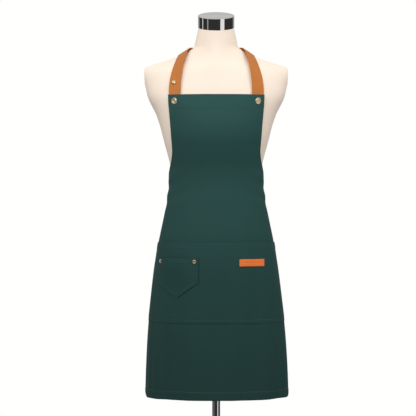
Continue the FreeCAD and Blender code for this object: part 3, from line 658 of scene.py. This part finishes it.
def label_lift(along, level):
    side = LABEL_HALF - np.abs(along - LABEL_MID)
    top = LABEL_TALL - abs(level - LABEL_LEVEL)
    edge = np.minimum(side, top)
    lift = label_base(along, level) + 1.9 - 0.7 * ease((1.4 - edge) / 1.4)
    lift = lift - 0.4 * np.exp(-((edge - 2.2) / 0.5) ** 2)
    bar = (np.abs(level - LABEL_LEVEL) < 1.3) * (np.abs(along - LABEL_MID) < LABEL_HALF - 9)
    gaps = np.mod(along - LABEL_MID, 4.2) < 2.9
    return lift - 0.35 * bar * gaps


label_levels = list(np.arange(LABEL_LEVEL - LABEL_TALL, LABEL_LEVEL + LABEL_TALL + 0.01, 0.5))
label = sheet_piece("leather label", *grid(
    label_levels, np.linspace(-1, 1, 140), lambda level, places: LABEL_MID + places * label_half(level),
    label_lift, label_base))
patch_leather.on(label)
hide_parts("label_patch")
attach(label, "torso")
box = [(LABEL_MID + sx * (LABEL_HALF - 2.2), LABEL_LEVEL + sz * (LABEL_TALL - 2.2)) for sx, sz in
       ((-1, -1), (1, -1), (1, 1), (-1, 1), (-1, -1))]
label_line = []
for (s0, z0), (s1, z1) in zip(box, box[1:]):
    edge_line = [(s0 + (s1 - s0) * t, z0 + (z1 - z0) * t) for t in np.linspace(0, 1, 14)]
    label_line.append(seam(edge_line, label_lift))
stitches("label stitching", label_line, 2.4, 1.7, 0.5, tan_thread, "torso")

# ---------------------------------------------------------------- neck strap
# One strip of tan leather round the neck, its edges bevelled, creased and burnished. Its ends pass
# behind the bib and snap to it.

# level, half width, front, back, middle and roundness of the dress form's outer skin, in millimetres
FORM = np.array([
    (1175, 133, 112, 94, 0, 2.3), (1210, 142.5, 122, 100, 0, 2.35), (1245, 151.5, 122.5, 105, 0, 2.35),
    (1285, 167, 114, 109, 2, 2.3), (1320, 184, 104, 111, 3, 2.2), (1350, 191, 95, 109, 5, 2.0),
    (1375, 197, 87, 105, 8, 1.75), (1392, 197, 82, 100, 10, 1.55), (1403, 188, 78, 96, 11, 1.4),
    (1412, 162, 74, 91.5, 11, 1.35), (1421, 134, 70.5, 87, 10, 1.35), (1431, 105, 66.5, 81, 8, 1.45),
    (1442, 80, 63, 73.5, 5, 1.6), (1454, 62, 60.5, 65.5, 2, 1.8), (1468, 57, 58.5, 57, -1, 1.95)])
STRAP_THICK, STRAP_WIDE = 2.8, 33.0
STRAP_PATH = [(-105, 1275, -1, 2.2), (-106, 1292, -1, 2.2), (-108, 1310, -1, 2.4),
              (-109.5, 1328, -1, 2.9), (-108.5, 1350, -1, 3.4), (-105, 1375, -1, 3.8),
              (-100, 1397, -1, 4.0), (-94, 1415, -1, 4.2), (-89.5, 1427, -1, 4.4),
              (-87, 1434, -1, 4.4), (-84.8, 1438.2, -1, 4.4), (-82, 1440.5, 1, 4.4),
              (-77, 1441.5, 1, 4.4), (-69, 1441.8, 1, 4.4), (-58, 1440.5, 1, 4.4), (-45, 1438, 1, 4.2),
              (-30, 1435, 1, 4.0), (-15, 1432.5, 1, 3.8), (0, 1431, 1, 3.8)]


def form_field(x, y, z):
    """Below 1 inside the form, above 1 outside it."""
    wide, front, back, middle, power = between(FORM, z)
    depth = (back - middle) if y > middle else (front + middle)
    return (abs(x) / wide) ** power + (abs(y - middle) / depth) ** power


def on_form(x, z, face, gap):
    """The form's point at x and z on its front (-1) or back (1), moved out by 'gap', and the way out."""
    wide, front, back, middle, power = between(FORM, z)
    depth = (back - middle) if face > 0 else (front + middle)
    rest = max(1 - (abs(x) / wide) ** power, 0.0)
    y = middle + face * depth * rest ** (1 / power)
    out = np.array([form_field(x + 0.5, y, z) - form_field(x - 0.5, y, z),
                    form_field(x, y + 0.5, z) - form_field(x, y - 0.5, z),
                    form_field(x, y, z + 0.5) - form_field(x, y, z - 0.5)])
    out /= np.linalg.norm(out)
    return np.array([x, y, z]) + out * gap, out


def smooth_through(points, count):
    """A curve through points, evenly spread."""
    points = np.array(points, float)
    run = np.concatenate([[0], np.cumsum(np.linalg.norm(np.diff(points, axis=0), axis=1))])
    slopes = np.gradient(points, run, axis=0)
    made = []
    for spot in np.linspace(0, run[-1], count):
        i = min(int(np.searchsorted(run, spot, side="right")) - 1, len(run) - 2)
        gap = run[i + 1] - run[i]
        t = (spot - run[i]) / gap
        made.append(points[i] * (2 * t ** 3 - 3 * t ** 2 + 1) + points[i + 1] * (3 * t ** 2 - 2 * t ** 3)
                    + slopes[i] * gap * (t ** 3 - 2 * t ** 2 + t) + slopes[i + 1] * gap * (t ** 3 - t ** 2))
    return np.array(made)


def band(name, path, outs, wide, thick, across_count=15, relief=None, edge=0.7):
    """A strip with rounded edges along a path in millimetres; its UV is (across, along) in metres."""
    path, outs = np.array(path), np.array(outs)
    wide = np.broadcast_to(np.asarray(wide, float), (len(path),))
    ahead = np.gradient(path, axis=0)
    across = np.cross(ahead, outs)
    across /= np.linalg.norm(across, axis=1, keepdims=True)
    outs = np.cross(across, ahead)
    outs /= np.linalg.norm(outs, axis=1, keepdims=True)
    run = np.concatenate([[0], np.cumsum(np.linalg.norm(np.diff(path, axis=0), axis=1))])
    places = np.sin(np.linspace(-1, 1, across_count) * math.pi / 2)
    outer, inner, flat = [], [], []
    for i in range(len(path)):
        spread = places * wide[i] / 2
        past = (np.abs(spread) - wide[i] / 2 + edge).clip(0) / edge
        rim = edge * (1 - np.sqrt(np.clip(1 - past ** 2, 0, 1)))
        bump = relief(spread, run[i], wide[i]) if relief else 0.0
        base = path[i] + across[i] * spread[:, None]
        outer.append(base + outs[i] * (thick - rim + bump)[:, None])
        inner.append(base + outs[i] * (rim + bump * 0.6)[:, None])
        flat.append(np.stack([spread / wide[i], np.full_like(spread, run[i] * MM)], axis=-1))
    return sheet_piece(
        name, np.array(outer)[:, ::-1] * MM, np.array(inner)[:, ::-1] * MM, np.array(flat)[:, ::-1])


half_strap = [on_form(*spot) for spot in STRAP_PATH]
flip = np.array([-1, 1, 1])
strap_path = [p for p, out in half_strap] + [p * flip for p, out in reversed(half_strap[:-1])]
strap_outs = [out for p, out in half_strap] + [out * flip for p, out in reversed(half_strap[:-1])]


def smoothed(values):
    """Each value blended with its two neighbours; the ends stay."""
    inner = [(values[i - 1] + values[i] * 2 + values[i + 1]) / 4 for i in range(1, len(values) - 1)]
    return values[:1] + inner + values[-1:]


strap_path = smoothed(strap_path)
strap_outs = [out / np.linalg.norm(out) for out in smoothed(smoothed(smoothed(strap_outs)))]


def strap_relief(spread, run, wide):
    """A crease close to both edges of the leather."""
    return -0.35 * np.exp(-((wide / 2 - np.abs(spread) - 3.0) / 0.5) ** 2)


strap = band("leather neck strap", smooth_through(strap_path, 220), smooth_through(strap_outs, 220),
             STRAP_WIDE, STRAP_THICK, 41, strap_relief, 0.9)
TAN = (0.545, 0.185, 0.034)
tan = Finish("tan bridle leather", TAN, 0.5)
tan.put("Specular IOR Level", 0.3)
hide = tan.noise(38, 5)
fine_grain = tan.noise(1400, 4)
tan.tint(hide * 0.45 + fine_grain * 0.15, (0.36, 0.11, 0.02)).relief(fine_grain, 0.00018)
tan.put("Roughness", hide * 0.16 + 0.44)
tan.on(strap)
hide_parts("neck_strap")
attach(strap, "torso")

# ---------------------------------------------------------------- seams of the jersey cover
# The cover is sewn together with a raised seam down the middle of the back, one down each side and a
# curved one down each half of the back.
jersey_tree = BVHTree.FromObject(
    nodes["jersey_cover"], bpy.context.evaluated_depsgraph_get())
cover_place = nodes["jersey_cover"].matrix_world.copy()
cover_back = cover_place.inverted()


def on_cover(start, toward):
    """Where a ray from outside meets the cover, and the way out."""
    near, out, face, far = jersey_tree.ray_cast(
        cover_back @ Vector(start), cover_back.to_3x3() @ Vector(toward))
    if near is None:
        return None
    return np.array(cover_place @ near), np.array(cover_place.to_3x3() @ out)


def cover_seam(name, rays):
    """A narrow raised ridge along the cover."""
    found = [hit for hit in (on_cover(start, toward) for start, toward in rays) if hit]
    path = np.array([p for p, out in found]) / MM
    outs = np.array([out for p, out in found])
    ridge = band(name, path - outs * 0.3, outs, 2.6, 0.9, 9, None, 0.45)
    jersey.on(ridge)
    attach(ridge, "torso")


COVER_LOW, BACK_SEAM_TOP, SIDE_SEAM_TOP, PRINCESS_SEAM_TOP = 0.794, 1.486, 1.268, 1.405
OUTSIDE = 0.4
cover_seam("back seam", [
    ((0, OUTSIDE, z), (0, -1, 0)) for z in np.linspace(COVER_LOW, BACK_SEAM_TOP, 150)])
for side, word in ((-1, "left"), (1, "right")):
    cover_seam("side seam " + word, [
        ((side * OUTSIDE, 0.004, z), (-side, 0, 0)) for z in np.linspace(COVER_LOW, SIDE_SEAM_TOP, 110)])
    cover_seam("princess seam " + word, [
        ((side * (0.075 - 0.02 * math.sin((z - COVER_LOW) * 5.5)), OUTSIDE, z), (0, -1, 0))
        for z in np.linspace(COVER_LOW, PRINCESS_SEAM_TOP, 130)])

# ---------------------------------------------------------------- waist ties
# Two strips of the same twill run from the skirt's back corners to a bow in the small of the back. The
# knot and loops are still; the two tails hang from it and can swing away from the body.
TIE_LEVEL, TIE_WIDE, TIE_THICK = TIE - 14, 25.0, 1.6
KNOT_Y = between(DRAPE, TIE_LEVEL)[2] + 3


def tie_relief(spread, run, wide):
    """Topstitched edges and the soft waves of a tied strip."""
    crease = -0.3 * np.exp(-((wide / 2 - np.abs(spread) - 2.2) / 0.6) ** 2)
    return crease + 0.35 * np.sin(run * 0.11 + spread * 0.12)


def tie_piece(name, node, path, outs, wide, body="torso"):
    piece = band(name, path, outs, wide, TIE_THICK, 21, tie_relief, 0.6)
    twill.on(piece)
    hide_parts(node)
    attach(piece, body)
    return piece


for side, word in ((-1, "left"), (1, "right")):
    row = Level(TIE_LEVEL)
    spots = side * np.linspace(panel_half(TIE_LEVEL) - 16, row.run[-1] - 11.5, 40)
    path = row.at(spots, CLOTH + 3.2) / MM
    outs = row.at(spots, CLOTH + 4.2) / MM - path
    tie_piece("waist tie " + word, "waist_tie_" + word, path, outs, TIE_WIDE)

    bends = [(0, 4.4), (16, 8), (40, 11.5), (66, 12), (84, 8.5), (90, 3), (82, -0.5), (62, -1.5), (38, -0.6),
             (16, 0.6), (0, 1.2)]
    flat_path = smooth_through([(reach, depth, 0) for reach, depth in bends], 110)
    droop = Matrix.Rotation(math.radians(16 * side), 3, "Y")
    middle = np.array([side * 12.2, KNOT_Y + 6, TIE_LEVEL + 1])
    path = np.array([np.array(droop @ Vector((side * p[0], p[1], 0))) + middle for p in flat_path])
    upright = np.array(droop @ Vector((0, 0, 1)))
    outs = np.cross(np.gradient(path, axis=0), upright) * -side
    taper = np.clip(flat_path[:, 0] / 34, 0, 1)
    tie_piece("bow loop " + word, "bow_loop_" + word, path, outs, 12 + 13 * taper)

    path = []
    for fallen in np.linspace(0, 190, 60):
        level = TIE_LEVEL - 14.4 - fallen
        back = between(DRAPE, level)[2]
        path.append((side * (6.5 + 0.16 * fallen + 2), max(back + 5, KNOT_Y + 5) + 1.5, level))
    path = np.array(path)
    outs = np.cross(np.array([1.0, 0, 0]), np.gradient(path, axis=0))
    outs *= np.where(outs[:, 1:2] < 0, -1, 1)
    wide = 13 + 12 * ease(np.linspace(0, 190, 60) / 71)
    tail = tie_piece("tie tail " + word, "tie_tail_" + word, path, outs, wide, "tail_" + word)

knot_data = bpy.data.meshes.new("tie knot")
knot_shape = bmesh.new()
bmesh.ops.create_cube(knot_shape, size=1.0)
bmesh.ops.subdivide_edges(knot_shape, edges=knot_shape.edges, cuts=14, use_grid_fill=True)
for corner in knot_shape.verts:
    ball = corner.co.normalized() * 0.62
    round_off = corner.co * 0.55 + ball * 0.45
    fold = 0.03 * math.sin(corner.co.x * 16 + corner.co.z * 5) + 0.03 * math.sin(corner.co.z * 9 + 1)
    corner.co = round_off * (1 + fold)
    corner.co = Vector((corner.co.x * 22, corner.co.y * 13, corner.co.z * 25)) * MM
knot_shape.to_mesh(knot_data)
knot_shape.free()
knot_data.shade_smooth()
knot = bpy.data.objects.new("tie_knot_cloth", knot_data)
bpy.context.scene.collection.objects.link(knot)
knot.location = Vector((0, KNOT_Y + 4.3, TIE_LEVEL)) * MM
twill.on(knot)
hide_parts("tie_knot")
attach(knot, "torso")

# ---------------------------------------------------------------- studio
# A plain pale floor, a white surround that is brighter above, and five soft lights. Polished metal sees a
# darker room towards the front with bright strips in it.
scene = bpy.context.scene
scene.view_settings.view_transform = "Standard"
world = bpy.data.worlds.new("white surround")
scene.world = world
world.use_nodes = True
tree = world.node_tree


def world_node(kind, settings, sockets):
    """A node of the world's tree: its settings, then what its sockets take."""
    made = tree.nodes.new(kind)
    for word, setting in settings.items():
        setattr(made, word, setting)
    for socket, amount in sockets.items():
        if isinstance(amount, bpy.types.NodeSocket):
            tree.links.new(amount, made.inputs[socket])
        else:
            made.inputs[socket].default_value = amount
    return made


def stretch(value, low, high, start, finish):
    """A smooth step of a value from low..high to start..finish."""
    made = world_node("ShaderNodeMapRange", {"interpolation_type": "SMOOTHSTEP"}, {
        "Value": value, "From Min": low, "From Max": high, "To Min": start, "To Max": finish})
    return made.outputs[0]


def blend(mask, first, second):
    return world_node("ShaderNodeMix", {"data_type": "FLOAT"}, {0: mask, 2: first, 3: second}).outputs[0]


ray = world_node("ShaderNodeLightPath", {}, {}).outputs
toward_sky = world_node("ShaderNodeTexCoord", {}, {}).outputs["Generated"]
way = world_node("ShaderNodeSeparateXYZ", {}, {0: toward_sky}).outputs
lit = stretch(way["Z"], -0.9, 0.9, 0.16, 0.86)
room = stretch(way["Y"], 0.55, 0.97, 0.035, 0.55)
right_half = stretch(way["X"], 0.0, 0.02, 0.0, 1.0)
for side, low, high, shine in ((1, -0.80, -0.50, 1.0), (0, 0.06, 0.20, 0.8), (0, -0.54, -0.43, 0.5)):
    strip = blend(stretch(way["Y"], low, low + 0.03, 0.0, 1.0), room, shine)
    strip = blend(stretch(way["Y"], high - 0.03, high, 0.0, 1.0), strip, room)
    room = blend(right_half, room, strip) if side else blend(right_half, strip, room)
seen = blend(stretch(way["Z"], 0.30, 0.62, 0.0, 1.0), room, 0.66)
glow = blend(ray["Is Camera Ray"], blend(ray["Is Glossy Ray"], lit, seen), 1.0)
surround = tree.nodes["Background"]
surround.inputs["Color"].default_value = (1, 1, 0.985, 1)
tree.links.new(glow, surround.inputs["Strength"])

FLOOR_REACH, FLOOR_CORNERS = 1.6, 96
floor_rim = [(FLOOR_REACH * math.cos(a), FLOOR_REACH * math.sin(a), -0.0005)
             for a in np.linspace(0, 2 * math.pi, FLOOR_CORNERS, endpoint=False)]
floor = mesh_piece("studio floor", floor_rim, [list(range(FLOOR_CORNERS))], None, False)
pale = Finish("pale floor", (0.86, 0.86, 0.85), 0.8)
pale.on(floor)
floor.visible_diffuse = False
stage = [floor]


def soft_light(name, spot, aim, wide, tall, watts, seen_in_metal=True):
    data = bpy.data.lights.new(name, "AREA")
    data.shape = "RECTANGLE"
    data.size, data.size_y, data.energy = wide, tall, watts
    lamp = bpy.data.objects.new(name, data)
    scene.collection.objects.link(lamp)
    lamp.location = spot
    lamp.rotation_euler = (Vector(aim) - Vector(spot)).to_track_quat("-Z", "Y").to_euler()
    lamp.visible_glossy = seen_in_metal
    stage.append(lamp)


# polished metal doesn't see the last four: they would show in it as white patches
soft_light("key light", (-0.35, -1.6, 2.15), (0, 0, 1.3), 1.2, 0.6, 11.5)
soft_light("left light", (-1.6, -0.9, 2.0), (0, 0, 1.4), 0.6, 0.8, 6, False)
soft_light("right light", (1.6, -0.9, 2.0), (0, 0, 1.4), 0.6, 0.8, 8, False)
soft_light("fill light", (1.9, -2.6, 2.1), (0, 0, 1.4), 1.2, 1.6, 7, False)
soft_light("back light", (0.6, 3.0, 2.6), (0, 0, 1.1), 1.6, 1.6, 22, False)

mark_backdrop(*stage)

camera_data = bpy.data.cameras.new("camera")
camera = bpy.data.objects.new("camera", camera_data)
scene.collection.objects.link(camera)
camera.location = (-0.022, -4.5, 1.022)
camera.rotation_euler = (math.pi / 2, 0, 0)
camera_data.lens = 144.2
scene.camera = camera

low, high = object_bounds()
